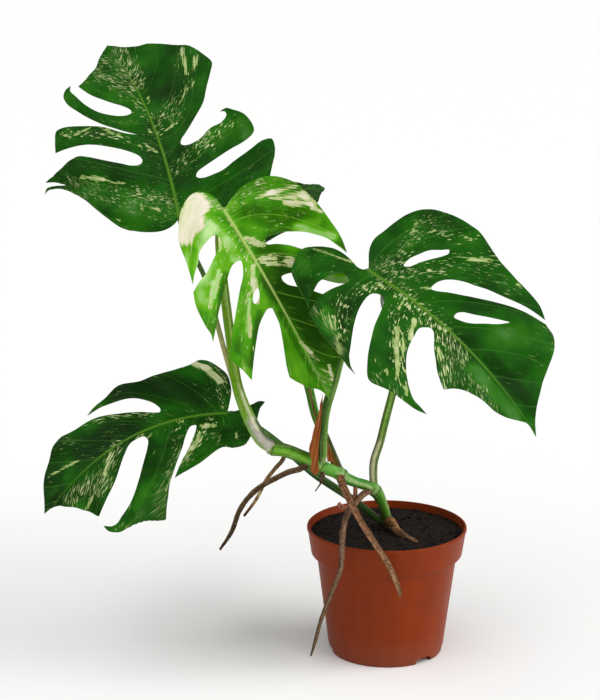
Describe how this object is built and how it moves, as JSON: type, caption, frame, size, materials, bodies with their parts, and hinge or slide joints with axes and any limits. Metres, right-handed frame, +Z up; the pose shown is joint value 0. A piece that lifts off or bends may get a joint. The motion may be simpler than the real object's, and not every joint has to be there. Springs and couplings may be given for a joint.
{
  "type": "potted monstera plant",
  "caption": "Variegated monstera with split leaves on long stalks, creeping stem and aerial roots, growing in a round terracotta-coloured nursery pot.",
  "frame": {"origin": "middle of the pot's foot, on the surface the pot stands on", "axes": "+Z up, +Y away from the side the leaves face, +X to the right of that side; the stem leans to -X"},
  "size_m": [0.4647, 0.3607, 0.5593],
  "materials": {
    "pot": "satin moulded plastic, terracotta colour",
    "soil": "moist dark peat mix",
    "stem": "smooth green bark with pale node rings",
    "stalk": "smooth waxy green",
    "pale_stalk": "smooth waxy green, striped with cream and pink",
    "root": "rough brown root bark",
    "sheath": "dry, papery, rust brown",
    "leaf": "glossy dark green, speckled with cream",
    "young_leaf": "glossy yellow-green with cream patches"
  },
  "bodies": {
    "root": {"pot": "pot", "soil": "soil", "stem": "stem", "petiole_a": "stalk", "petiole_b": "pale_stalk", "petiole_c": "stalk", "petiole_d": "stalk", "petiole_e": "stalk", "petiole_f": "stalk", "leaf_a": "leaf", "leaf_b": "young_leaf", "leaf_c": "leaf", "leaf_d": "leaf", "leaf_e": "leaf", "leaf_f": "leaf", "root_a": "root", "root_b": "root", "root_c": "root", "root_d": "root", "root_e": "root", "root_nub": "root", "root_stub": "root", "sheath_a": "sheath", "sheath_b": "sheath"}
  },
  "joints": []
}
